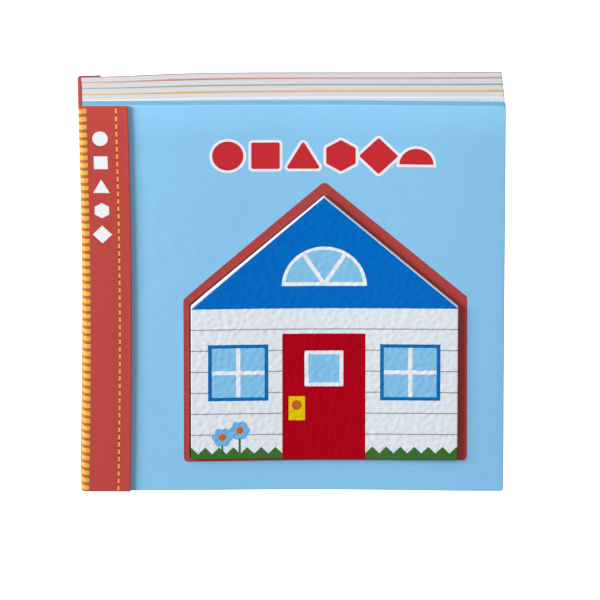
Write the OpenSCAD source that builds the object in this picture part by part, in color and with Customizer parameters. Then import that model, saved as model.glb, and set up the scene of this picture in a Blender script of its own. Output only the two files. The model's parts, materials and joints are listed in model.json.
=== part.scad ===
// Soft foam picture book with a house-shaped puzzle piece set in its front cover.
// The book stands on its bottom edge: the front cover faces -Y, the spine is at -X, +Z is up.
// The origin is at the middle of the pages' bottom edge.

/* [Book] */
// Width from the spine face to the fore-edge
book_w = 155; // [140:1:200]
// Height of the covers, the leaves and the wrap
book_h = 152; // [130:1:200]
// Angle at which the front cover stands ajar
ajar = 1.75; // [1:0.05:8]
// Angle by which each leaf fans out from the next towards the fore-edge
fan = 0.2; // [0:0.05:0.5]

/* [Foam sheets] */
// Thickness of the front cover
cover_t = 5.9; // [3:0.1:8]
// Thickness of each inner leaf and of the back cover
leaf_t = 5.6; // [3:0.1:8]
// Number of inner leaves
leaf_count = 3; // [1:1:6]
// Slit between neighbouring sheets
leaf_gap = 0.3; // [0.2:0.05:0.8]
// Rounding of the top, bottom and fore edges of a sheet
edge_r = 0.4; // [0.2:0.1:1.4]
// Width of the glued margin that binds the leaves beside the spine
glue_w = 8; // [4:0.5:16]
// How far the glue stays back from the top and bottom edges
glue_inset = 3; // [1:0.5:10]
// Gap for glue between the leaves and the spine panel
glue_gap = 0.2; // [0.1:0.05:0.4]

/* [Spine wrap] */
// Thickness of the wrap sheet
wrap_t = 1.2; // [0.6:0.1:1.8]
// Outer radius of the bends at the two spine corners
wrap_r = 1.7; // [1.5:0.1:3]
// Reach of the wrap onto the front cover, from the spine face
strip_w = 18; // [12:0.5:26]
// Reach of the wrap onto the back cover, from the spine face
back_strip_w = 8.5; // [6:0.5:26]
// Slit left in the bend where a cover hinges
hinge_gap = 0.2; // [0.1:0.05:0.5]

/* [House piece] */
// Width of the house
house_w = 97.8; // [80:0.1:110]
// Height of its walls, from the bottom edge to the eaves
wall_h = 61.1; // [56:0.1:66]
// Height of its roof above the eaves
roof_h = 43.4; // [38:0.1:48]
// Offset of the house towards the fore-edge from the middle of the book
house_x = 11.5; // [4:0.1:14]
// Height of its bottom edge above the bottom of the book
house_z = 12.8; // [6:0.1:14]
// How far the piece stands proud of the cover
house_proud = 1; // [0.5:0.1:4]
// Clearance between the piece and its hole
house_gap = 0.3; // [0.1:0.05:0.6]
// Rounding of the front edge of the piece
house_edge_r = 0.3; // [0.1:0.1:1]

/* [Cover and house print] */
// Thickness of a printed colour field
print_t = 0.1; // [0.05:0.05:0.2]
// Width of the border printed round the house
border_w = 3.1; // [2:0.1:5]
// How much higher than the house the border sits
border_lift = 1.6; // [0:0.1:2]
// Rounding of the border's outer corners
border_r = 1.8; // [0.5:0.1:3]
// Width of the door
door_w = 30; // [24:0.5:34]
// Height of the door
door_h = 50; // [44:0.5:54]
// Side of the square light in the door
light_side = 14.2; // [10:0.1:18]
// Height of the light's sill above the bottom edge of the house
light_sill = 29; // [24:0.1:32]
// Width of the lock plate on the door
plate_w = 6.3; // [4:0.1:8]
// Height of the lock plate
plate_h = 9.9; // [6:0.1:12]
// Height of the plate's foot above the bottom edge of the house
plate_foot = 15.7; // [10:0.1:20]
// Distance of the plate from the left side of the door
plate_inset = 2.2; // [1:0.1:4]
// Radius of the knob
knob_r = 1.9; // [1:0.1:2.8]
// How far the roof's colour reaches below the eaves
roof_drop = 0.7; // [0:0.1:2]
// Distance of a window's middle from the middle of the house
window_x = 31.4; // [28:0.1:33]
// Side of a square window
window_side = 21.9; // [14:0.1:26]
// Height of the window sills above the bottom edge of the house
window_sill = 23.8; // [20:0.1:28]
// Width of the window frames
frame_bar = 1.3; // [0.8:0.1:2]
// Width of the glazing bars
glazing_bar = 1.5; // [0.8:0.1:2]
// Radius of the half-round gable window
gable_r = 15.5; // [10:0.1:18]
// Height of its sill above the eaves
gable_sill = 8; // [4:0.1:10]
// Height of the lawn along the bottom edge
lawn_h = 2.1; // [1.5:0.1:4]
// Width of a pointed tuft along the lawn
tuft_w = 5.05; // [3:0.05:8]
// Height of a pointed tuft
tuft_h = 2.65; // [1:0.05:4]

/* [Hidden] */
$fn = 48;

// Depths, from the front of the closed book to its back
block_t = leaf_count * leaf_t + (leaf_count - 1) * leaf_gap;
block_front = -block_t / 2;
cover_in = block_front - leaf_gap;
cover_out = cover_in - cover_t;
wrap_front = cover_out - wrap_t;
back_in = block_t / 2 + leaf_gap;
back_out = back_in + leaf_t;
wrap_back = back_out + wrap_t;

// Places along the width
spine_x = -book_w / 2;
fore_x = book_w / 2;
hinge_x = spine_x + wrap_r;
strip_end = spine_x + strip_w;
back_strip_end = spine_x + back_strip_w;
spine_in = spine_x + wrap_t;
leaf_x = spine_in + glue_gap;

// The house, its front face and the rise of its roof
house_front = cover_out - house_proud;
roof_slope = roof_h / (house_w / 2);
plate_x = plate_inset + plate_w / 2 - door_w / 2;
gable_spokes = [57, 123];
edge_steps = [0, 30, 60, 90];

// Angle of a sheet of the fan: the inner leaves count from 0, and the back cover comes after them
function fan_angle(i) = fan * (i - (leaf_count - 1) / 2);

// Outline of the house, grown outwards by a margin
function house_points(grow) =
    let (half = house_w / 2 + grow,
         apex = wall_h + roof_h + grow * sqrt(1 + roof_slope * roof_slope),
         eaves = apex - half * roof_slope)
    [[-half, -grow], [half, -grow], [half, eaves], [0, apex], [-half, eaves]];

// Rectangle with four rounded corners
module round_rect(size_x, size_y, r) {
    translate([r, 0]) square([size_x - 2 * r, size_y]);
    translate([0, r]) square([size_x, size_y - 2 * r]);
    for (x = [r, size_x - r], y = [r, size_y - r]) translate([x, y]) circle(r);
}

// Outline drawn in X and Z, made solid between two depths
module upright(y0, y1) {
    translate([0, y1, 0]) rotate([90, 0, 0]) linear_extrude(y1 - y0) children();
}

// Foam sheet with rounded top, bottom and fore edges, and a square edge at the spine
module foam_sheet(x0, y0, thickness) {
    length = fore_x - x0;
    translate([x0, y0, 0]) intersection() {
        linear_extrude(book_h)
            translate([-edge_r, 0]) round_rect(length + edge_r, thickness, edge_r);
        rotate([90, 0, 90]) linear_extrude(length) round_rect(thickness, book_h, edge_r);
    }
}

// Turns its children about an upright axis
module turn_about(x, y, angle) {
    translate([x, y, 0]) rotate([0, 0, angle]) translate([-x, -y, 0]) children();
}

// Turns what belongs to a cover about that cover's hinge, to where it stands
module swing_front() {
    turn_about(hinge_x, wrap_front, -ajar) children();
}

module swing_back() {
    turn_about(hinge_x, wrap_back, fan_angle(leaf_count)) children();
}

// Flat flange of the wrap that is glued to a cover
module wrap_flange(y0, end) {
    translate([hinge_x, y0, 0]) cube([end - hinge_x, wrap_t, book_h]);
}

// Spine panel with its two bends: the outer round less the inner one, up to the hinge lines
module spine_wrap() {
    depth = wrap_back - wrap_front;
    color("firebrick") linear_extrude(book_h) intersection() {
        difference() {
            translate([spine_x, wrap_front]) round_rect(strip_w, depth, wrap_r);
            translate([spine_in, cover_out])
                round_rect(strip_w, depth - 2 * wrap_t, wrap_r - wrap_t);
        }
        translate([spine_x, wrap_front]) square([wrap_r - hinge_gap, depth]);
    }
}

module front_strip() {
    color("firebrick") swing_front() wrap_flange(wrap_front, strip_end);
}

module back_strip() {
    color("firebrick") swing_back() wrap_flange(back_out, back_strip_end);
}

// Border printed round the hole, with rounded outer corners
module cover_border() {
    translate([house_x, 0, house_z + border_lift]) upright(cover_out - print_t, cover_out + edge_r)
        offset(border_r) offset(delta = -border_r) polygon(house_points(border_w));
}

// Front cover with the hole that holds the house
module front_cover() {
    swing_front() difference() {
        union() {
            color("skyblue") foam_sheet(hinge_x, cover_out, cover_t);
            color("firebrick") cover_border();
        }
        translate([house_x, 0, house_z])
            upright(cover_out - cover_t, cover_in + cover_t) polygon(house_points(house_gap));
    }
}

// Printed field on the front face of the house
module house_field(layers = 1) {
    upright(house_front - layers * print_t, house_front + house_edge_r) children();
}

// White foam of the house, with a rounded front edge
module house_foam() {
    hull() for (a = edge_steps)
        upright(house_front + house_edge_r * (1 - sin(a)), cover_in)
            polygon(house_points(-house_edge_r * (1 - cos(a))));
}

// Half disc that stands on its flat side
module half_disc(r) {
    intersection() {
        circle(r);
        translate([-r, 0]) square([2 * r, r]);
    }
}

// Roof field, open at the gable window
module roof_print() {
    difference() {
        intersection() {
            polygon(house_points(-house_edge_r));
            translate([-house_w / 2, wall_h - roof_drop]) square([house_w, roof_drop + roof_h]);
        }
        translate([0, wall_h + gable_sill]) half_disc(gable_r);
    }
}

// Half-round gable window: the rim, its sill and the glazing bars
module gable_frame() {
    translate([0, wall_h + gable_sill]) intersection() {
        half_disc(gable_r);
        union() {
            difference() {
                circle(gable_r);
                circle(gable_r - frame_bar);
            }
            translate([-gable_r, 0]) square([2 * gable_r, frame_bar]);
            for (a = gable_spokes)
                rotate(a) translate([0, -glazing_bar / 2]) square([gable_r, glazing_bar]);
        }
    }
}

// Frame of a square window, round its middle
module square_frame(side) {
    difference() {
        square(side, center = true);
        square(side - 2 * frame_bar, center = true);
    }
}

// Glazing bars that cross in a square window
module glazing_cross() {
    for (a = [0, 90]) rotate(a) square([window_side - frame_bar, glazing_bar], center = true);
}

// Lawn with pointed tufts along the foot of the wall, on both sides of the door
module lawn_print() {
    half = house_w / 2 - house_edge_r;
    count = ceil((half - door_w / 2) / tuft_w);
    far = door_w / 2 + count * tuft_w;
    for (side = [0, 1]) mirror([side, 0]) intersection() {
        polygon([[door_w / 2, 0], [far, 0],
            for (i = [count : -0.5 : 0]) [door_w / 2 + i * tuft_w, lawn_h + (i == floor(i) ? 0 : tuft_h)]]);
        translate([0, house_edge_r]) square([half, lawn_h + tuft_h]);
    }
}

// Door with its light, lock plate and knob
module door() {
    color("crimson") house_field()
        translate([-door_w / 2, house_edge_r]) square([door_w, door_h - house_edge_r]);
    color("white") house_field(2)
        translate([0, light_sill + light_side / 2]) square_frame(light_side);
    color("gold") house_field(2)
        translate([plate_x - plate_w / 2, plate_foot]) square([plate_w, plate_h]);
    color("chocolate") house_field(3)
        translate([plate_x, plate_foot + plate_h - plate_w / 2]) circle(knob_r);
}

// Puzzle piece: the foam house and the colour fields of its print
module house_piece() {
    swing_front() translate([house_x, 0, house_z]) {
        color("white") house_foam();
        color("royalblue") house_field() roof_print();
        color("white") house_field(2) gable_frame();
        door();
        for (x = [-window_x, window_x]) translate([x, 0, window_sill + window_side / 2]) {
            color("white") house_field() glazing_cross();
            color("royalblue") house_field(2) square_frame(window_side);
        }
        color("forestgreen") house_field() lawn_print();
    }
}

// Inner leaves, fanned out a little and bound by glue beside the spine
module page_block() {
    color("whitesmoke") {
        for (i = [0 : leaf_count - 1]) {
            y0 = block_front + i * (leaf_t + leaf_gap);
            turn_about(leaf_x, y0 + leaf_t / 2, fan_angle(i)) foam_sheet(leaf_x, y0, leaf_t);
        }
        translate([leaf_x, block_front + leaf_t / 2, glue_inset])
            cube([glue_w, block_t - leaf_t, book_h - 2 * glue_inset]);
    }
}

module back_cover() {
    color("palevioletred") swing_back() foam_sheet(hinge_x, back_in, leaf_t);
}

spine_wrap();
front_strip();
back_strip();
front_cover();
house_piece();
page_block();
back_cover();
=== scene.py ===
"""Looks of a soft foam book with a house-shaped puzzle piece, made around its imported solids.

Lengths are in millimetres in the row frame and turn to metres where a mesh is made.
A sheet is drawn flat in u and v, has a depth w behind its front face, and is then put in place.
"""
import json
import math

import bmesh
import bpy
import numpy as np
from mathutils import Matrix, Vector, noise
from mathutils.geometry import delaunay_2d_cdt


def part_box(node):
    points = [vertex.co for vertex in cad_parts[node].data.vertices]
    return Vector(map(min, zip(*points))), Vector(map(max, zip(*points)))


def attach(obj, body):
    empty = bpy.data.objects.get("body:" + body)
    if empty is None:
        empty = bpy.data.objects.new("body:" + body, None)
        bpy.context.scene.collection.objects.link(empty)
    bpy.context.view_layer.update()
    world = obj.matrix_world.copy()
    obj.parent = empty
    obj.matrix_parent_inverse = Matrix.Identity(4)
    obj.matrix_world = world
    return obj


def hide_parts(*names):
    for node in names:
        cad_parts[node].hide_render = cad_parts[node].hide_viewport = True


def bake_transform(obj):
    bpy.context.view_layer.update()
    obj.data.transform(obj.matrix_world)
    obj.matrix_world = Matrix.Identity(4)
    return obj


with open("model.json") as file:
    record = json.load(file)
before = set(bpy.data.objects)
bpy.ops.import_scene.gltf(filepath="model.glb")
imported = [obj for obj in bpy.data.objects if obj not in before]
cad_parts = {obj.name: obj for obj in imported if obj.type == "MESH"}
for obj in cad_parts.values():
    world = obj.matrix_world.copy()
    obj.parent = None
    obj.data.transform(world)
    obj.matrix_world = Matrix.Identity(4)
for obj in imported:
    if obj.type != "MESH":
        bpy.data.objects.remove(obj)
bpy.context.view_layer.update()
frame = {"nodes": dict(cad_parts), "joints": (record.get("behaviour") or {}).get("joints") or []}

METRES = 0.001
# Slack for telling places apart, in millimetres
SLACK = 0.01

# Sizes read from the frame


def hinge_point(name):
    """A point on the axis of a joint."""
    found = next(j for j in frame["joints"] if j["name"] == name)
    return np.array(found["pos_m"], float) / METRES


def node_points(node):
    return np.array([v.co for v in frame["nodes"][node].data.vertices], float) / METRES


def turned(points, hinge, angle):
    """Points turned about the upright axis through a hinge. The angle may differ from point to point."""
    c, s = np.cos(angle), np.sin(angle)
    x, y = points[:, 0] - hinge[0], points[:, 1] - hinge[1]
    return np.column_stack([hinge[0] + x * c - y * s, hinge[1] + x * s + y * c, points[:, 2]])


def swing_of(strip, hinge, side):
    """Angle by which a cover stands open at rest, from the outer far corner of its flange."""
    points = node_points(strip)
    tip = points[np.argmax(side * points[:, 1])]
    return math.atan2(tip[1] - hinge[1], tip[0] - hinge[0])


def closed_box(node, hinge, swing):
    """Lowest and highest corner of a node with its cover closed."""
    points = turned(node_points(node), hinge, -swing)
    return points.min(0), points.max(0)


FRONT_HINGE = hinge_point("front_hinge")
BACK_HINGE = hinge_point("back_hinge")
FRONT_SWING = swing_of("front_strip", FRONT_HINGE, -1)
BACK_SWING = swing_of("back_strip", BACK_HINGE, 1)

cover_low, cover_high = closed_box("front_cover", FRONT_HINGE, FRONT_SWING)
house_low, house_high = closed_box("house_piece", FRONT_HINGE, FRONT_SWING)
back_low, back_high = closed_box("back_cover", BACK_HINGE, BACK_SWING)

HEIGHT = cover_high[2]
SPINE_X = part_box("spine_wrap")[0].x / METRES
HINGE_X = FRONT_HINGE[0]
FORE_X = cover_high[0]
STRIP_END = closed_box("front_strip", FRONT_HINGE, FRONT_SWING)[1][0]
BACK_STRIP_END = closed_box("back_strip", BACK_HINGE, BACK_SWING)[1][0]
COVER_OUT, COVER_IN = cover_low[1], cover_high[1]
WRAP_FRONT, WRAP_BACK = FRONT_HINGE[1], BACK_HINGE[1]
WRAP_T = COVER_OUT - WRAP_FRONT
WRAP_R = HINGE_X - SPINE_X
LEAVES = 3
LEAF_T = back_high[1] - back_low[1]
LEAF_GAP = (back_low[1] - COVER_IN - LEAVES * LEAF_T) / (LEAVES + 1)
LEAF_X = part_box("page_block")[0].x / METRES
# Angle from one leaf to the next
FAN = BACK_SWING / ((LEAVES + 1) / 2)

HOUSE_X = (house_low[0] + house_high[0]) / 2
HOUSE_Z = house_low[2]
HOUSE_HALF = (house_high[0] - house_low[0]) / 2
HOUSE_TOP = house_high[2] - house_low[2]
house_points = turned(node_points("house_piece"), FRONT_HINGE, -FRONT_SWING)
EAVES = house_points[house_points[:, 0] > house_high[0] - SLACK, 2].max() - HOUSE_Z
HOUSE_PROUD = COVER_OUT - house_points[:, 1].min()
HOUSE_SLOPE = (HOUSE_TOP - EAVES) / HOUSE_HALF
SLOPE_RUN = math.hypot(1, HOUSE_SLOPE)

# Sizes that only the looks need
SHEET_EDGE_R, COVER_CORNER_R, LEAF_CORNER_R = 0.3, 0.7, 0.35
COVER_FILM, LEAF_FILM, BACK_FILM = 0.3, 0.32, 0.9
HOUSE_EDGE_R, HOUSE_FILM = 0.2, 0.2
HOUSE_GAP, HOLE_EDGE_R = 0.3, 0.1
# Slide of the house in its hole, and how far it tips forward on its right side
HOUSE_SLIDE, HOUSE_TIP = (0.26, 0.14), 0.15
# Taken off the house's left slope, and off the upper ends of the hole's left and both right slopes
HOUSE_TRIM, HOLE_TRIM, RIGHT_TRIM = 0.3, 0.3, 0.35
# Share by which the wrap is thicker on the spine than on its flanges
SPINE_THICKER = 0.4
SPINE_IN = SPINE_X + WRAP_T * (1 + SPINE_THICKER)
COVER_CLEARANCE = 0.1
COVER_X = SPINE_IN + COVER_CLEARANCE
# Bands round an edge, and sides of the triangles on the faces
ROUND_STEPS, WALL_STEPS = 4, 3
COVER_STEP, HOUSE_STEP, LEAF_STEP, WRAP_STEP = 1.6, 0.6, 3.0, 1.0
SHARP_ANGLE = 38.0
# Height and size of the faces' soft swellings
COVER_RIPPLE_H, COVER_RIPPLE_SIZE = 0.05, 13.0
HOUSE_RIPPLE_H, HOUSE_RIPPLE_SIZE, HOUSE_RIPPLE_STRETCH = 0.13, 1.6, 1.8
# How far printed fields run past the edge that cuts them
OVERPRINT = 1.0
# Soft forms: bow of the sheets, lean of the front, pinch of the spine side, swell of the leaves
BOW = 1.2
LEAN, LEAN_H = 1.25, 12.0
PINCH, PINCH_W = 1.0, 30.0
LEAF_SWELLS, BACK_SWELL = (0.6, 1.0, 1.2), 1.9
SWELL_RISE, SWELL_FALL = 2, 6
SWELL_PEAK = SWELL_RISE / (SWELL_RISE + SWELL_FALL)

# Flat shapes, as loops of points that run anticlockwise

# Least divisor of a mitre, which keeps sharp corners short
MITRE_LEAST = 0.2
# Smallest distance and area that count in a triangulation
JOIN_SLACK, SLIVER = 1e-4, 1e-4


def rect(x0, y0, x1, y1):
    return np.array([(x0, y0), (x1, y0), (x1, y1), (x0, y1)], float)


def arc(cx, cy, r, start, end, count=32):
    a = np.radians(np.linspace(start, end, count + 1))
    return np.column_stack([cx + r * np.cos(a), cy + r * np.sin(a)])


def disc(cx, cy, r, count=48):
    return arc(cx, cy, r, 0, 360, count)[:-1]


def half_disc(cx, cy, r):
    return arc(cx, cy, r, 0, 180)


def regular(cx, cy, r, sides, first=90.0):
    """Polygon of equal sides, with its first corner at an angle."""
    return arc(cx, cy, r, first, first + 360, sides)[:-1]


def bar(start, angle, length, width):
    """Straight bar from a point, at an angle in degrees."""
    d = np.array([math.cos(math.radians(angle)), math.sin(math.radians(angle))])
    n = np.array([-d[1], d[0]]) * width / 2
    a = np.array(start, float)
    b = a + d * length
    return np.array([a - n, b - n, b + n, a + n])


def mitres(loop):
    """For each corner of a loop, the move that shifts both its sides outwards by one."""
    before, after = loop - np.roll(loop, 1, 0), np.roll(loop, -1, 0) - loop
    n0 = np.column_stack([before[:, 1], -before[:, 0]])
    n1 = np.column_stack([after[:, 1], -after[:, 0]])
    n0 /= np.linalg.norm(n0, axis=1)[:, None]
    n1 /= np.linalg.norm(n1, axis=1)[:, None]
    total = n0 + n1
    return total / np.maximum((total * n0).sum(1), MITRE_LEAST)[:, None]


def grown(loop, margin):
    return loop + mitres(loop) * margin


def rounded(loop, r, count=6):
    """Loop with an arc in place of each corner."""
    made = []
    for i, corner in enumerate(loop):
        a, b = loop[i - 1] - corner, loop[(i + 1) % len(loop)] - corner
        a, b = a / np.linalg.norm(a), b / np.linalg.norm(b)
        half = math.acos(np.clip(a @ b, -1, 1)) / 2
        middle = corner + (a + b) / np.linalg.norm(a + b) * r / math.sin(half)
        first, last = corner + a * r / math.tan(half), corner + b * r / math.tan(half)
        for t in np.linspace(0, 1, count + 1):
            d = first * (1 - t) + last * t - middle
            made.append(middle + d / np.linalg.norm(d) * r)
    return np.array(made)


def house_loop(margin=0.0):
    """Outline of the house, grown outwards by a margin."""
    corners = [(-HOUSE_HALF, 0), (HOUSE_HALF, 0), (HOUSE_HALF, EAVES), (0, HOUSE_TOP), (-HOUSE_HALF, EAVES)]
    return grown(np.array(corners, float) + [HOUSE_X, HOUSE_Z], margin)


# Places of two corners in that outline
APEX, LEFT_EAVE = 3, 4


def apex_move(left, right):
    """Move of the apex that takes these lengths off the upper ends of the left and right slopes."""
    one_left = np.array([SLOPE_RUN / HOUSE_SLOPE, -SLOPE_RUN]) / 2
    return one_left * left + one_left * [-1, 1] * right


def inside(points, loop):
    """Which points lie inside a loop."""
    found = np.zeros(len(points), bool)
    low, high = loop.min(0), loop.max(0)
    near = np.flatnonzero(((points >= low) & (points <= high)).all(1))
    x, y = points[near, 0], points[near, 1]
    odd = np.zeros(len(near), bool)
    for (x0, y0), (x1, y1) in zip(loop, np.roll(loop, -1, 0)):
        if y0 != y1:
            crosses = (y0 > y) != (y1 > y)
            odd ^= crosses & (x < (x1 - x0) * (y - y0) / (y1 - y0) + x0)
    found[near] = odd
    return found


def divided(loop, step):
    """Loop with points added so that no side is longer than a step."""
    made = []
    for a, b in zip(loop, np.roll(loop, -1, 0)):
        count = max(1, math.ceil(np.linalg.norm(b - a) / step))
        made += [a + (b - a) * i / count for i in range(count)]
    return np.array(made)


def triangulate(loops, cuts, step):
    """Points and triangles inside the first loop and outside the others, cut along further loops."""
    low, high = loops[0].min(0) + step / 2, loops[0].max(0)
    clear = step / 3
    grid = np.stack(np.meshgrid(np.arange(low[0], high[0], step), np.arange(low[1], high[1], step)), -1)
    grid = grid.reshape(-1, 2)
    grid = grid[inside(grid, grown(loops[0], -clear))]
    for hole in loops[1:]:
        grid = grid[~inside(grid, grown(hole[::-1], clear))]
    points, edges = [], []
    for loop in [*loops, *cuts]:
        start, count = len(points), len(loop)
        points += [Vector(p) for p in loop]
        edges += [(start + i, start + (i + 1) % count) for i in range(count)]
    points += [Vector(p) for p in grid]
    co, _, faces, origins, *_ = delaunay_2d_cdt(points, edges, [], 0, JOIN_SLACK)
    co = np.array([tuple(p) for p in co])
    faces = np.array(faces)
    on_side = np.array([min(origin, default=len(points)) < sum(map(len, loops)) for origin in origins])
    area = np.abs(np.cross(co[faces[:, 1]] - co[faces[:, 0]], co[faces[:, 2]] - co[faces[:, 0]])) / 2
    middle = co[faces].mean(1)
    sliver = on_side[faces].all(1) & (area < SLIVER)
    keep = inside(middle, loops[0]) & ~sliver
    for hole in loops[1:]:
        keep &= ~inside(middle, hole)
    faces = faces[keep]
    used = np.unique(faces)
    renumber = np.zeros(len(co), int)
    renumber[used] = np.arange(len(used))
    return co[used], renumber[faces], middle[keep]


def rims(faces):
    """Closed chains of the edges that only one triangle has."""
    edges = {(f[i], f[(i + 1) % 3]) for f in faces.tolist() for i in range(3)}
    follow = {a: b for a, b in edges if (b, a) not in edges}
    chains = []
    while follow:
        start, here = next(iter(follow.items()))
        chain = [start]
        del follow[start]
        while here != start:
            chain.append(here)
            here = follow.pop(here)
        chains.append(chain)
    return chains


# Sheets


def edge_profile(thickness, r, films):
    """Rings round the edge of a sheet: outward move, depth, and the skin of the band before each ring.

    The skins of its front and back reach round its edges, each to the depth of its film.
    """
    turns = np.radians(np.linspace(0, 90, ROUND_STEPS + 1))
    bend = [(r * math.sin(a), r * (1 - math.cos(a))) for a in turns]
    front, back = (max(film, r + SLACK) for film in films)
    made = [(out, w, "front") for out, w in bend[1:] + [(r, front)]]
    made += [(r, w, "core") for w in np.linspace(front, thickness - back, WALL_STEPS + 1)[1:]]
    return made + [(out, thickness - w, "back") for out, w in bend[::-1]]


def sheet(loops, thickness, r, place, skins, step, prints=(), relief=None, flush=None, hole_r=None,
          films=(0, 0)):
    """A solid sheet with rounded edges, as points, faces and a material for each face.

    loops bound its flat front face, skins names its front, back and core materials, step is the side
    of its triangles, and prints is a list of (loop, material) in the order of printing. relief gives
    the height of the front face, flush says where the edge meets another piece and stays square,
    hole_r rounds the holes' edges, and films are the depths to which the skins run over the edge.
    """
    loops = [divided(loop, step) for loop in loops]
    flat, faces, middle = triangulate(loops, [divided(loop, step) for loop, _ in prints], step)
    paint = np.full(len(faces), skins["front"], object)
    for loop, ink in prints:
        paint[inside(middle, loop)] = ink
    ink_at = {(f[i], f[(i + 1) % 3]): ink for f, ink in zip(faces.tolist(), paint) for i in range(3)}
    depth = np.zeros(len(flat)) if relief is None else -relief(flat)
    points = [np.column_stack([flat, depth])]
    quads, quad_paint, count = [], [], len(flat)
    back_loops = []
    for chain in rims(faces):
        loop = flat[chain]
        move = mitres(loop)
        if flush is not None:
            move[flush(loop)] = 0
        last = np.array(chain)
        turn = np.cross(loop, np.roll(loop, -1, 0)).sum()
        ink_along = [ink_at[edge] for edge in zip(chain, chain[1:] + chain[:1])]
        edge_r = r if turn > 0 or hole_r is None else hole_r
        for out, w, skin in edge_profile(thickness, edge_r, films):
            ring = np.arange(count, count + len(chain))
            points.append(np.column_stack([loop + move * out, np.full(len(chain), w)]))
            count += len(chain)
            quads += np.column_stack([np.roll(last, -1), last, ring, np.roll(ring, -1)]).tolist()
            quad_paint += ink_along if skin == "front" else [skins[skin]] * len(chain)
            last = ring
        back_loops.append(loop)
    back_loops.sort(key=lambda loop: -np.ptp(loop[:, 0]))
    # The back has no print, so its triangles are larger
    flat_back, faces_back, _ = triangulate(back_loops, [], step * 2)
    points.append(np.column_stack([flat_back, np.full(len(flat_back), thickness)]))
    faces_back = faces_back[:, ::-1] + count
    points = np.concatenate(points)
    all_faces = faces.tolist() + quads + faces_back.tolist()
    all_paint = list(paint) + quad_paint + [skins["back"]] * len(faces_back)
    return place(points[:, 0], points[:, 1], points[:, 2]), all_faces, all_paint


# Distance at which points of one object are joined, in metres
JOIN_DISTANCE = 1e-6


def make_object(name, parts):
    """One object of several sheets, with their points joined where they coincide."""
    points, faces, paint = [], [], []
    for part_points, part_faces, part_paint in parts:
        start = sum(len(p) for p in points)
        points.append(part_points)
        faces += [[start + i for i in f] for f in part_faces]
        paint += part_paint
    mesh = bpy.data.meshes.new(name)
    mesh.from_pydata((np.concatenate(points) * METRES).tolist(), [], faces)
    inks = list(dict.fromkeys(paint))
    for ink in inks:
        mesh.materials.append(ink)
    mesh.polygons.foreach_set("material_index", [inks.index(p) for p in paint])
    bm = bmesh.new()
    bm.from_mesh(mesh)
    bmesh.ops.remove_doubles(bm, verts=bm.verts, dist=JOIN_DISTANCE)
    bmesh.ops.recalc_face_normals(bm, faces=bm.faces)
    bm.to_mesh(mesh)
    bm.free()
    mesh.shade_smooth()
    mesh.set_sharp_from_angle(angle=math.radians(SHARP_ANGLE))
    obj = bpy.data.objects.new(name, mesh)
    bpy.context.scene.collection.objects.link(obj)
    weighted = obj.modifiers.new("weighted", "WEIGHTED_NORMAL")
    weighted.keep_sharp = True
    return obj


def smooth(t):
    """Eases a share between 0 and 1 at both ends."""
    return t * t * (3 - 2 * t)


def bow(u):
    """Share of the sheets' full bow backwards, between the strip and the fore-edge."""
    t = np.clip((u - STRIP_END) / (FORE_X - STRIP_END), 0, 1)
    return (1 - np.cos(2 * math.pi * t)) / 2


def swell(u):
    """Share of a leaf's full swell backwards, which lies beside the spine, beyond the glued margin."""
    t = np.clip((u - BACK_STRIP_END) / (FORE_X - BACK_STRIP_END), 0, 1)
    highest = SWELL_PEAK ** SWELL_RISE * (1 - SWELL_PEAK) ** SWELL_FALL
    return t ** SWELL_RISE * (1 - t) ** SWELL_FALL / highest


def lean(v):
    """How far the front of the book leans back near its top edge."""
    t = np.clip((v - HEIGHT + LEAN_H) / LEAN_H, 0, 1)
    return LEAN * t * t


def pinch(x, v):
    """How far the book is drawn in at half its height, beside the spine."""
    t = np.clip((x - STRIP_END) / PINCH_W, 0, 1)
    return PINCH * np.sin(math.pi * v / HEIGHT) * (1 - smooth(t))


def standing(front_y, hinge, swing, swollen=0.0, thinned=0.0, tipped=0.0):
    """Place for an upright sheet whose front face is at a depth while closed, turned about a hinge.

    swollen is how far it swells backwards beside the spine, and tipped how far it stands forward on
    the right side of the house. thinned is the thickness of a sheet that leans back at the top with
    its front face alone.
    """
    def place(u, v, w):
        y = front_y + w + BOW * bow(u) + swollen * swell(u)
        y -= tipped * (u - HOUSE_X + HOUSE_HALF) / (2 * HOUSE_HALF)
        if thinned:
            y += lean(v) * (1 - w / thinned)
        return turned(np.column_stack([u + pinch(u, v), y, v]), hinge, swing)
    return place


def ripple(height, size, loop, stretch=1.0):
    """Relief of soft random swellings that fades out at the sides of a convex loop.

    The swellings are longer towards the upper right, by the stretch.
    """
    def relief(flat):
        along, across = (flat[:, 0] + flat[:, 1]) / (size * stretch), (flat[:, 0] - flat[:, 1]) / size
        fade = np.ones(len(flat))
        for a, b in zip(loop, np.roll(loop, -1, 0)):
            side = (b - a) / np.linalg.norm(b - a)
            from_side = side[0] * (flat[:, 1] - a[1]) - side[1] * (flat[:, 0] - a[0])
            fade = np.minimum(fade, np.clip(from_side / size, 0, 1))
        return fade * [height * noise.noise((a, b, height)) for a, b in zip(along, across)]
    return relief


def sheet_loop(x0, corner_r):
    """Outline of the flat face of a cover or leaf, with rounded corners at the fore-edge."""
    loop = rect(x0, SHEET_EDGE_R, FORE_X - SHEET_EDGE_R, HEIGHT - SHEET_EDGE_R)
    arcs = rounded(loop, corner_r).reshape(4, -1, 2)
    return np.vstack([loop[:1], arcs[1], arcs[2], loop[3:]])


# Materials


def linear(rgb):
    """Linear colour of an sRGB triple."""
    return [c / 12.92 if c <= 0.04045 else ((c + 0.055) / 1.055) ** 2.4 for c in rgb]


# Noise scales in repeats per metre, their detail, and depths of the bumps in metres
PATCH_SCALE, PATCH_DETAIL = 420, 3
GRAIN_SCALE, GRAIN_DETAIL, GRAIN_DEPTH = 3200, 2, 0.0002
CELL_SCALE, CELL_DEPTH = 1500, 0.0003


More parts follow.
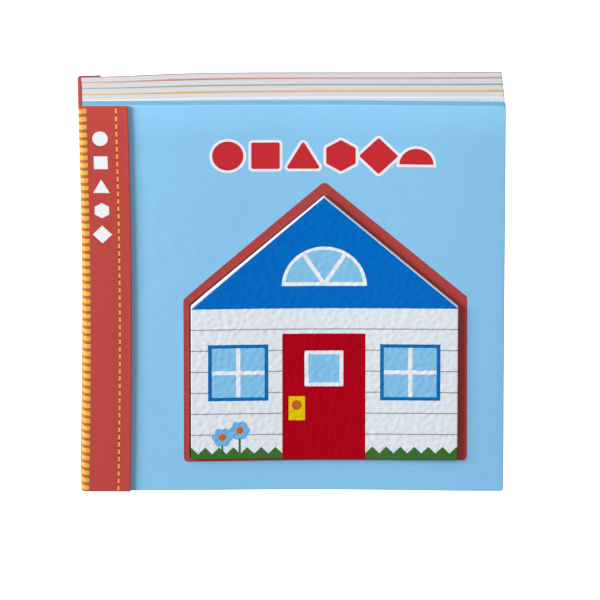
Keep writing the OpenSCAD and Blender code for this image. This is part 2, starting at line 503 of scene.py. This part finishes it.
def foam(name, rgb, roughness=0.6, mottle=0.05, grain=0.12, cells=0.0, gloss=0.12):
    """Matte foam or print on foam: mottled colour, fine grain, and open cells on a cut edge."""
    made = bpy.data.materials.new(name)
    made.use_nodes = True
    nodes, links = made.node_tree.nodes, made.node_tree.links
    shader = nodes["Principled BSDF"]
    shader.inputs["Roughness"].default_value = roughness
    shader.inputs["Specular IOR Level"].default_value = gloss
    where = nodes.new("ShaderNodeTexCoord").outputs["Object"]

    patches = nodes.new("ShaderNodeTexNoise")
    patches.inputs["Scale"].default_value = PATCH_SCALE
    patches.inputs["Detail"].default_value = PATCH_DETAIL
    links.new(where, patches.inputs["Vector"])
    tint = nodes.new("ShaderNodeMix")
    tint.data_type = "RGBA"
    colour = linear(rgb)
    tint.inputs["A"].default_value = [*(c * (1 - mottle) for c in colour), 1]
    tint.inputs["B"].default_value = [*(min(1, c * (1 + mottle)) for c in colour), 1]
    links.new(patches.outputs["Fac"], tint.inputs["Factor"])
    links.new(tint.outputs["Result"], shader.inputs["Base Color"])

    fine = nodes.new("ShaderNodeTexNoise")
    fine.inputs["Scale"].default_value = GRAIN_SCALE
    fine.inputs["Detail"].default_value = GRAIN_DETAIL
    links.new(where, fine.inputs["Vector"])
    bump = nodes.new("ShaderNodeBump")
    bump.inputs["Strength"].default_value = grain
    bump.inputs["Distance"].default_value = GRAIN_DEPTH
    links.new(fine.outputs["Fac"], bump.inputs["Height"])
    if cells:
        pores = nodes.new("ShaderNodeTexVoronoi")
        pores.inputs["Scale"].default_value = CELL_SCALE
        links.new(where, pores.inputs["Vector"])
        open_cells = nodes.new("ShaderNodeBump")
        open_cells.inputs["Strength"].default_value = cells
        open_cells.inputs["Distance"].default_value = CELL_DEPTH
        links.new(pores.outputs["Distance"], open_cells.inputs["Height"])
        links.new(bump.outputs["Normal"], open_cells.inputs["Normal"])
        bump = open_cells
    links.new(bump.outputs["Normal"], shader.inputs["Normal"])
    return made


COVER_BLUE = foam("cover_blue", (0.55, 0.785, 0.94))
EDGE_BLUE = foam("cover_edge_blue", (0.49, 0.735, 0.89), roughness=0.75, mottle=0.08, cells=0.3)
BORDER_RED = foam("border_red", (0.68, 0.255, 0.245))
TITLE_RED = foam("title_red", (0.78, 0.16, 0.20))
PRINT_WHITE = foam("print_white", (0.93, 0.94, 0.96))
LEAF_WHITE = foam("leaf_white", (0.91, 0.94, 0.97))
FOAM_WHITE = foam("foam_white", (0.89, 0.875, 0.89), roughness=0.8, mottle=0.04, cells=0.25)
# The house's foam, darker than the same white foam of the leaves: painted shade on its side walls, in the
# gap round the piece and on its back
HOUSE_SIDE_SHADE = foam("house_side_shade", (0.73, 0.755, 0.79), roughness=0.8, mottle=0.04, cells=0.25)
PAGE_YELLOW = foam("page_yellow", (0.82, 0.68, 0.34))
PAGE_GREEN = foam("page_green", (0.53, 0.65, 0.57))
PAGE_RED = foam("page_red", (0.78, 0.59, 0.56))
BACK_PLUM = foam("back_plum", (0.52, 0.28, 0.38))
WALL_WHITE = foam("wall_white", (0.895, 0.92, 0.95), mottle=0.04, grain=0.2)
BOARD_GREY = foam("board_grey", (0.58, 0.58, 0.61), grain=0.2)
ROOF_BLUE = foam("roof_blue", (0.0, 0.42, 0.77), mottle=0.12, grain=0.2, gloss=0.04)
FRAME_BLUE = foam("frame_blue", (0.03, 0.43, 0.70), mottle=0.06, grain=0.2, gloss=0.04)
PANE_BLUE = foam("pane_blue", (0.52, 0.765, 0.925), mottle=0.06, grain=0.2)
DOOR_RED = foam("door_red", (0.68, 0.0, 0.09), mottle=0.06, grain=0.2, gloss=0.04)
PETAL_BLUE = foam("petal_blue", (0.44, 0.70, 0.90), grain=0.2)
LAWN_GREEN = foam("lawn_green", (0.24, 0.435, 0.19), mottle=0.08, grain=0.2, gloss=0.04)
KNOB_YELLOW = foam("knob_yellow", (0.89, 0.79, 0.02), grain=0.2, gloss=0.04)
KNOB_ORANGE = foam("knob_orange", (0.79, 0.39, 0.125), grain=0.2, gloss=0.04)
WRAP_RED = foam("wrap_red", (0.725, 0.275, 0.255), roughness=0.55)
STITCH_YELLOW = foam("stitch_yellow", (0.86, 0.66, 0.27), roughness=0.55, mottle=0.06)
STITCH_ORANGE = foam("stitch_orange", (0.95, 0.66, 0.28), roughness=0.55, mottle=0.06)
SEAM_RED = foam("seam_red", (0.56, 0.17, 0.13), roughness=0.55)
# Brown under the bend's bars: painted shade between the bars
BEND_SHADE_BROWN = foam("bend_shade_brown", (0.68, 0.36, 0.24), roughness=0.55)

# Front cover: border round the house, and a row of plain shapes above it
BORDER_W = 3.1
BORDER_SHIFT = (0.62, 1.62)
# Moves of the border's corners, from the bottom left round to the left eave
BORDER_MOVES = ((0, 0), (0.1, 0), (-0.15, 0.6), (-0.37, -0.53), (-0.15, -0.8))
# How far the border reaches below the house at its left and right ends
BORDER_FEET = (1.4, 0.45)
BORDER_R = 1.8
SHAPE_STEP = 13.7
SHAPE_Z = 132.6
SHAPE_X = 10.9
SHAPE_RIM = 1.0
SHAPE_R = 0.7
SHAPE_SIZES = {"circle_r": 5.7, "square_half": 5.2, "triangle_r": 7.3, "triangle_drop": 1.5,
               "hexagon_r": 6.2, "diamond_r": 7.2}
HALF_DISC_R, HALF_DISC_DROP = 6.2, 3.2


def plain_shapes(circle_r, square_half, triangle_r, triangle_drop, hexagon_r, diamond_r):
    """Circle, square, triangle, hexagon and diamond about one point."""
    square = rect(-square_half, -square_half, square_half, square_half)
    return [disc(0, 0, circle_r), square, regular(0, -triangle_drop, triangle_r, 3),
            regular(0, 0, hexagon_r, 6), regular(0, 0, diamond_r, 4)]


def title_shapes():
    """Plain shapes and a half-disc in a row, each with a white rim."""
    circle, *polygons = plain_shapes(**SHAPE_SIZES)
    shapes = [circle, *(rounded(loop, SHAPE_R) for loop in polygons)]
    shapes.append(half_disc(0, -HALF_DISC_DROP, HALF_DISC_R))
    made = []
    for i, loop in enumerate(shapes):
        loop = loop + [SHAPE_X + (i - (len(shapes) - 1) / 2) * SHAPE_STEP, SHAPE_Z]
        made += [(grown(loop, SHAPE_RIM), PRINT_WHITE), (loop, TITLE_RED)]
    return made


def front_cover():
    outline = sheet_loop(COVER_X, COVER_CORNER_R)
    hole = house_loop(HOUSE_GAP + HOLE_EDGE_R)
    hole[APEX] += apex_move(HOLE_TRIM, RIGHT_TRIM)
    border = house_loop(BORDER_W) + BORDER_SHIFT + BORDER_MOVES
    border[:2, 1] = HOUSE_Z - np.array(BORDER_FEET)
    border = rounded(border, BORDER_R)
    skins = {"front": COVER_BLUE, "back": COVER_BLUE, "core": EDGE_BLUE}
    place = standing(COVER_OUT, FRONT_HINGE, FRONT_SWING, thinned=COVER_IN - COVER_OUT)
    relief = ripple(COVER_RIPPLE_H, COVER_RIPPLE_SIZE, rect(COVER_X, 0, FORE_X, HEIGHT))
    part = sheet([outline, hole[::-1]], COVER_IN - COVER_OUT, SHEET_EDGE_R, place, skins, COVER_STEP,
                 prints=[(border, BORDER_RED), *title_shapes()], relief=relief, hole_r=HOLE_EDGE_R,
                 films=(COVER_FILM, COVER_FILM))
    return make_object("front_cover_sheet", [part])


# House print, in millimetres from the middle of the house's bottom edge
DOOR_U, DOOR_W, DOOR_H = -0.13, 30.45, 50.0
LIGHT_SIDE, LIGHT_SILL, LIGHT_BAR, LIGHT_R = 14.2, 29.0, 1.45, 0.5
PLATE_W, PLATE_H, PLATE_FOOT, PLATE_INSET = 6.0, 9.55, 15.5, 2.3
KNOB_R, KNOB_V = 1.95, 21.55
WINDOW_W, WINDOW_H, WINDOW_SILL, WINDOW_U = 22.1, 22.4, 23.4, 31.48
FRAME_BAR, GLAZING_BAR = 1.4, 1.55
GABLE_R, GABLE_SILL, GABLE_RIM, GABLE_BAR = 15.5, 7.8, 1.2, 1.5
SPOKES = (57, 123)
ROOF_DROP, ROOF_INSET = 1.1, 0.62
# Moves of the roof's left foot, right foot and apex
ROOF_MOVES = ((0.46, 0), (-0.08, 0), (-0.19, 0))
BOARD_FIRST, BOARD_STEP, BOARD_LINE, BOARDS = 9.9, 8.38, 0.42, 6
LAWN_H, TUFT_W, TUFT_H = 2.3, 5.15, 2.65
PETALS, PETAL_R, FLOWER_R, FLOWER_EYE_R = 6, 1.6, 2.3, 1.4
FLOWERS = ((-31.0, 11.6), (-37.4, 8.9))
STEM_W = 0.8
PETAL_SIDES = 24
# Rise of the whole print for each millimetre to the right
PRINT_RISE = 0.0067


def gable_window(u, v):
    """Half-round window with a white frame and glazing bars."""
    r = GABLE_R
    made = [(half_disc(u, v, r), PRINT_WHITE), (half_disc(u, v, r - GABLE_RIM), PANE_BLUE)]
    made.append((rect(u - r, v, u + r, v + GABLE_BAR), PRINT_WHITE))
    foot = (u, v + GABLE_BAR / 2)
    return made + [(bar(foot, a, r - GABLE_RIM, GABLE_BAR), PRINT_WHITE) for a in SPOKES]


def square_window(u, v):
    """Square window of four panes with white glazing bars, from the middle of its sill."""
    half = np.array([WINDOW_W, WINDOW_H]) / 2
    inner = half - FRAME_BAR
    middle = half * [0, 1] + [u, v]
    made = [(rect(*(middle - half), *(middle + half)), FRAME_BLUE)]
    made.append((rect(*(middle - inner), *(middle + inner)), PRINT_WHITE))
    for x in (-1, 1):
        for y in (-1, 1):
            corner, cross = np.array([x, y]) * inner, np.array([x, y]) * GLAZING_BAR / 2
            low, high = np.minimum(corner, cross), np.maximum(corner, cross)
            made.append((rect(*(middle + low), *(middle + high)), PANE_BLUE))
    return made


def door():
    """Door with a square light, and a lock plate with its knob."""
    made = [(rect(-DOOR_W / 2, -OVERPRINT, DOOR_W / 2, DOOR_H), DOOR_RED)]
    half = LIGHT_SIDE / 2
    made.append((rounded(rect(-half, LIGHT_SILL, half, LIGHT_SILL + LIGHT_SIDE), LIGHT_R), PRINT_WHITE))
    made.append((rect(LIGHT_BAR - half, LIGHT_SILL + LIGHT_BAR, half - LIGHT_BAR,
                      LIGHT_SILL + LIGHT_SIDE - LIGHT_BAR), PANE_BLUE))
    u = PLATE_INSET - DOOR_W / 2
    made.append((rect(u, PLATE_FOOT, u + PLATE_W, PLATE_FOOT + PLATE_H), KNOB_YELLOW))
    made.append((disc(u + PLATE_W / 2, KNOB_V, KNOB_R), KNOB_ORANGE))
    return [(loop + [DOOR_U, 0], ink) for loop, ink in made]


def lawn():
    """Lawn with pointed tufts on both sides of the door."""
    count = math.ceil((HOUSE_HALF - DOOR_W / 2) / TUFT_W)
    far = DOOR_W / 2 + count * TUFT_W
    tips = [(DOOR_W / 2 + i * TUFT_W / 2, LAWN_H + TUFT_H * (i % 2)) for i in range(2 * count, -1, -1)]
    right = np.array([(DOOR_W / 2, -OVERPRINT), (far, -OVERPRINT), *tips])
    return [(loop + [DOOR_U, 0], LAWN_GREEN) for loop in (right, right[::-1] * [-1, 1])]


def flower(u, v):
    """Flower with round petals on a straight stem, from the middle of its head."""
    made = [(rect(u - STEM_W / 2, 0, u + STEM_W / 2, v), LAWN_GREEN)]
    for i in range(PETALS):
        a = 2 * math.pi * i / PETALS
        petal = disc(u + FLOWER_R * math.cos(a), v + FLOWER_R * math.sin(a), PETAL_R, PETAL_SIDES)
        made.append((petal, PETAL_BLUE))
    return made + [(disc(u, v, FLOWER_EYE_R, PETAL_SIDES), KNOB_ORANGE)]


def house_print():
    """Everything on the face of the house, in the order of printing."""
    reach = HOUSE_HALF + OVERPRINT
    foot, apex = EAVES - ROOF_DROP, HOUSE_TOP - ROOF_INSET * SLOPE_RUN
    half = (apex - foot) / HOUSE_SLOPE
    made = [(np.array([(-half, foot), (half, foot), (0, apex)]) + ROOF_MOVES, ROOF_BLUE)]
    made += gable_window(0, EAVES + GABLE_SILL)
    for i in range(BOARDS):
        v = BOARD_FIRST + i * BOARD_STEP
        made.append((rect(-reach, v - BOARD_LINE / 2, reach, v + BOARD_LINE / 2), BOARD_GREY))
    made += lawn()
    for u, v in FLOWERS:
        made += flower(u, v)
    made += door()
    for side in (-1, 1):
        made += square_window(side * WINDOW_U, WINDOW_SILL)
    origin = np.array([HOUSE_X, HOUSE_Z]) + HOUSE_SLIDE
    return [(loop + loop[:, :1] * [0, PRINT_RISE] + origin, ink) for loop, ink in made]


def house_piece():
    skins = {"front": WALL_WHITE, "back": HOUSE_SIDE_SHADE, "core": HOUSE_SIDE_SHADE}
    front_y = COVER_OUT - HOUSE_PROUD
    place = standing(front_y, FRONT_HINGE, FRONT_SWING, tipped=HOUSE_TIP)
    outline = house_loop(-HOUSE_EDGE_R) + HOUSE_SLIDE
    outline[APEX] += apex_move(HOUSE_TRIM, RIGHT_TRIM)
    outline[LEFT_EAVE, 1] -= SLOPE_RUN * HOUSE_TRIM
    relief = ripple(HOUSE_RIPPLE_H, HOUSE_RIPPLE_SIZE, outline, HOUSE_RIPPLE_STRETCH)
    part = sheet([outline], COVER_IN - front_y, HOUSE_EDGE_R, place, skins, HOUSE_STEP,
                 prints=house_print(), relief=relief, films=(HOUSE_FILM, HOUSE_FILM))
    return make_object("house_puzzle_piece", [part])


# Leaves and back cover


def leaf(index, front_ink, back_ink):
    """One inner leaf, counted from the front."""
    front_y = COVER_IN + LEAF_GAP + index * (LEAF_T + LEAF_GAP)
    pivot = (LEAF_X, front_y + LEAF_T / 2)
    place = standing(front_y, pivot, FAN * (index - (LEAVES - 1) / 2), LEAF_SWELLS[index])
    skins = {"front": front_ink, "back": back_ink, "core": FOAM_WHITE}
    outline = sheet_loop(SPINE_IN + SHEET_EDGE_R, LEAF_CORNER_R)
    return sheet([outline], LEAF_T, SHEET_EDGE_R, place, skins, LEAF_STEP, films=(LEAF_FILM, LEAF_FILM))


def page_block():
    inks = [(LEAF_WHITE, PAGE_YELLOW), (PAGE_YELLOW, PAGE_GREEN), (PAGE_GREEN, PAGE_RED)]
    return make_object("page_leaves", [leaf(i, *pair) for i, pair in enumerate(inks)])


def back_cover():
    skins = {"front": PAGE_RED, "back": BACK_PLUM, "core": FOAM_WHITE}
    place = standing(back_low[1], BACK_HINGE, BACK_SWING, BACK_SWELL)
    outline = sheet_loop(COVER_X, LEAF_CORNER_R)
    part = sheet([outline], LEAF_T, SHEET_EDGE_R, place, skins, LEAF_STEP, films=(LEAF_FILM, BACK_FILM))
    return make_object("back_cover_sheet", [part])


# Spine wrap: two halves that meet at the middle of the spine
WRAP_EDGE_R = 0.25
FRONT_FLAT, BACK_FLAT = STRIP_END - HINGE_X, BACK_STRIP_END - HINGE_X
BEND = math.pi / 2 * WRAP_R
SPINE_HALF = (WRAP_BACK - WRAP_FRONT) / 2 - WRAP_R
# Lift of the flanges' free edges, and how far in it begins
EDGE_LIFT, EDGE_LIFT_W = 0.1, 3.0
BAR_STEP, BAR_W, BAR_REACH, BAR_WRAP = 2.93, 1.72, 1.2, 3.0
BAR_R, BAR_ARC = 0.3, 3
# Rise of the top and the bottom bar over its length
BAR_RISES = (-0.9, 0.9)
# How far the ends of the bars stand past the band under them
BAND_INSET = 0.17
DASH_FROM_EDGE, DASH_W, DASH_L, DASH_STEP, SEAM_W = 4.4, 0.65, 1.95, 2.9, 0.45
MARK_FROM_EDGE, MARK_STEP, MARK_TOP = 10.4, 9.4, 140.0
MARK_SIZES = {"circle_r": 2.8, "square_half": 2.5, "triangle_r": 3.5, "triangle_drop": 0.7,
              "hexagon_r": 3.0, "diamond_r": 3.5}


def column(u0, u1, length, step, ink, rises=(0, 0)):
    """Bars one above the other on the flat wrap, with the rises of the top and the bottom one."""
    count = int(HEIGHT / step)
    made = []
    for i in range(count):
        t = (i + 0.5) / count
        loop = rect(u0, t * HEIGHT - length / 2, u1, t * HEIGHT + length / 2)
        loop[1:3, 1] += rises[0] * t + rises[1] * (1 - t)
        made.append((rounded(loop, BAR_R, BAR_ARC), ink))
    return made


def bend_bars(flat):
    """Stitched bars round a bend, on a brown band that paints in the shade between the bars."""
    u0, u1 = flat - BAR_REACH, flat + BEND + BAR_WRAP
    bars = column(u0, u1, BAR_W, BAR_STEP, STITCH_YELLOW, BAR_RISES)
    band = rect(u0 + BAND_INSET, -OVERPRINT, u1 - BAND_INSET, HEIGHT + OVERPRINT)
    return [(band, BEND_SHADE_BROWN), *bars]


def edge_dashes():
    """Line of dashes on a dark seam near the free edge of the front strip."""
    u, half = DASH_FROM_EDGE, DASH_W / 2
    seam = rect(u - SEAM_W / 2, -OVERPRINT, u + SEAM_W / 2, HEIGHT + OVERPRINT)
    return [(seam, SEAM_RED), *column(u - half, u + half, DASH_L, DASH_STEP, STITCH_ORANGE)]


def strip_marks():
    """A short column of plain white shapes on the front strip."""
    made = []
    for i, loop in enumerate(plain_shapes(**MARK_SIZES)):
        made.append((loop + [MARK_FROM_EDGE, MARK_TOP - i * MARK_STEP], PRINT_WHITE))
    return made


def wrap_place(flat, hinge, swing, mirror):
    """Bends the flat wrap round a spine corner: flange first, then the bend, then the spine."""
    middle = (WRAP_FRONT + WRAP_BACK) / 2

    def place(u, v, w):
        a = np.clip((u - flat) / WRAP_R, 0, math.pi / 2)
        w = w * (1 + SPINE_THICKER * np.sin(a))
        x = HINGE_X + np.maximum(flat - u, 0) - (WRAP_R - w) * np.sin(a)
        y = WRAP_FRONT + WRAP_R - (WRAP_R - w) * np.cos(a) + np.maximum(u - flat - BEND, 0)
        y -= EDGE_LIFT * np.clip(1 - u / EDGE_LIFT_W, 0, 1) ** 2
        t = smooth(np.clip((flat + BEND - u) / BEND, 0, 1))
        y = 2 * middle - y if mirror else y + lean(v) * t
        return turned(np.column_stack([x + pinch(x, v), y, v]), hinge, swing * t)
    return place


def wrap_half(name, flat, hinge, swing, mirror, prints):
    """One half of the wrap, from the free edge of its flange to the middle of the spine."""
    r = WRAP_EDGE_R
    end = flat + BEND + SPINE_HALF
    skins = {"front": WRAP_RED, "back": WRAP_RED, "core": WRAP_RED}
    place = wrap_place(flat, hinge, swing, mirror)
    part = sheet([rect(r, r, end, HEIGHT - r)], WRAP_T, r, place, skins, WRAP_STEP, prints=prints,
                 flush=lambda loop: loop[:, 0] > end - SLACK)
    if mirror:
        # The back flange has the colour of the back cover; its dark plum also paints in the shade on the
        # flange's top edge
        points, faces, paint = part
        from_hinge = points[:, 0] - pinch(points[:, 0], points[:, 2]) - HINGE_X
        paint = [BACK_PLUM if from_hinge[f].min() > 0 else ink for f, ink in zip(faces, paint)]
        part = points, faces, paint
    obj = make_object(name, [part])
    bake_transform(obj)
    return obj


# Stage
CAMERA_DISTANCE = 4000.0
CAMERA_AZIMUTH, CAMERA_ELEVATION = -1.5, 22.91
CAMERA_LENS = 654.3
CAMERA_AIM = (3.34, 0.0, 68.82)
# The rest of the stage is in metres
CAMERA_FAR = 50.0
LAMP_AIM = (0, 0, 0.07)
# Name, place, side and watts of each lamp
LAMPS = (
    ("key", (-1.42, -0.50, 0.60), 0.62, 41),
    ("top", (0.2, -0.5, 1.1), 0.5, 4.5),
    ("fill", (0.7, 0.9, 0.07), 0.12, 7.5),
)
WHITE = (1, 1, 1, 1)
ROOM_LIGHT = 0.17
FLOOR_HALF, FLOOR_Z = 6.0, -0.0001
FLOOR_SEEN, FLOOR_BOUNCE, FLOOR_GLOW = (0.72, 0.72, 0.72, 1), (0.35, 0.35, 0.35, 1), 0.775


def aimed(obj, location, target):
    obj.location = location
    obj.rotation_euler = (Vector(target) - Vector(location)).to_track_quat("-Z", "Y").to_euler()
    bpy.context.scene.collection.objects.link(obj)
    return obj


def camera():
    a, e = math.radians(CAMERA_AZIMUTH), math.radians(CAMERA_ELEVATION)
    back = Vector((math.sin(a) * math.cos(e), -math.cos(a) * math.cos(e), math.sin(e)))
    aim = Vector(CAMERA_AIM) * METRES
    data = bpy.data.cameras.new("camera")
    data.lens = CAMERA_LENS
    data.clip_end = CAMERA_FAR
    made = bpy.data.objects.new("camera", data)
    bpy.context.scene.camera = aimed(made, aim + back * CAMERA_DISTANCE * METRES, aim)


def lamp(name, location, size, watts):
    data = bpy.data.lights.new(name, "AREA")
    data.size = size
    data.energy = watts
    aimed(bpy.data.objects.new(name, data), location, LAMP_AIM)


def direct_rays(nodes, links):
    """1 for rays that the camera, a mirror or a clear piece sends, 0 for the rest."""
    path = nodes.new("ShaderNodeLightPath")
    total = path.outputs["Is Camera Ray"]
    for name in ("Is Glossy Ray", "Is Transmission Ray"):
        add = nodes.new("ShaderNodeMath")
        add.operation = "MAXIMUM"
        links.new(total, add.inputs[0])
        links.new(path.outputs[name], add.inputs[1])
        total = add.outputs[0]
    return total


def white_room():
    """White world for the camera, soft even light for the object."""
    world = bpy.data.worlds.new("room")
    bpy.context.scene.world = world
    world.use_nodes = True
    nodes, links = world.node_tree.nodes, world.node_tree.links
    light = nodes["Background"]
    light.inputs["Strength"].default_value = ROOM_LIGHT
    light.inputs["Color"].default_value = WHITE
    seen = nodes.new("ShaderNodeBackground")
    seen.inputs["Color"].default_value = WHITE
    mix = nodes.new("ShaderNodeMixShader")
    links.new(direct_rays(nodes, links), mix.inputs[0])
    links.new(light.outputs[0], mix.inputs[1])
    links.new(seen.outputs[0], mix.inputs[2])
    links.new(mix.outputs[0], nodes["World Output"].inputs["Surface"])


def floor():
    """Pale floor that keeps the shadow, is white where it is lit and throws little light back."""
    made = bpy.data.materials.new("floor")
    made.use_nodes = True
    nodes, links = made.node_tree.nodes, made.node_tree.links
    nodes.remove(nodes["Principled BSDF"])
    matte, dull = nodes.new("ShaderNodeBsdfDiffuse"), nodes.new("ShaderNodeBsdfDiffuse")
    matte.inputs["Color"].default_value = FLOOR_SEEN
    dull.inputs["Color"].default_value = FLOOR_BOUNCE
    glow = nodes.new("ShaderNodeEmission")
    glow.inputs["Strength"].default_value = FLOOR_GLOW
    lit = nodes.new("ShaderNodeAddShader")
    links.new(matte.outputs[0], lit.inputs[0])
    links.new(glow.outputs[0], lit.inputs[1])
    mix = nodes.new("ShaderNodeMixShader")
    links.new(direct_rays(nodes, links), mix.inputs[0])
    links.new(dull.outputs[0], mix.inputs[1])
    links.new(lit.outputs[0], mix.inputs[2])
    links.new(mix.outputs[0], nodes["Material Output"].inputs["Surface"])
    mesh = bpy.data.meshes.new("floor")
    corners = rect(-FLOOR_HALF, -FLOOR_HALF, FLOOR_HALF, FLOOR_HALF).tolist()
    mesh.from_pydata([(x, y, FLOOR_Z) for x, y in corners], [], [(0, 1, 2, 3)])
    mesh.materials.append(made)
    obj = bpy.data.objects.new("floor", mesh)
    bpy.context.scene.collection.objects.link(obj)


camera()
white_room()
floor()
for settings in LAMPS:
    lamp(*settings)
bpy.context.scene.view_settings.view_transform = "Standard"

PIECES = (
    (front_cover(), "front", ("front_cover",), "cover_blue"),
    (house_piece(), "front", ("house_piece",), "house_foam"),
    (page_block(), "spine", ("page_block",), "leaf_foam"),
    (back_cover(), "back", ("back_cover",), "back_plum"),
)
for piece, body, nodes, slot in PIECES:
    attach(piece, body)
    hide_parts(*nodes)

front_print = bend_bars(FRONT_FLAT) + edge_dashes() + strip_marks()
back_print = bend_bars(BACK_FLAT)
front_wrap = wrap_half("spine_wrap_front", FRONT_FLAT, FRONT_HINGE, FRONT_SWING, False, front_print)
back_wrap = wrap_half("spine_wrap_back", BACK_FLAT, BACK_HINGE, BACK_SWING, True, back_print)
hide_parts("spine_wrap", "front_strip")
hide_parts("back_strip")
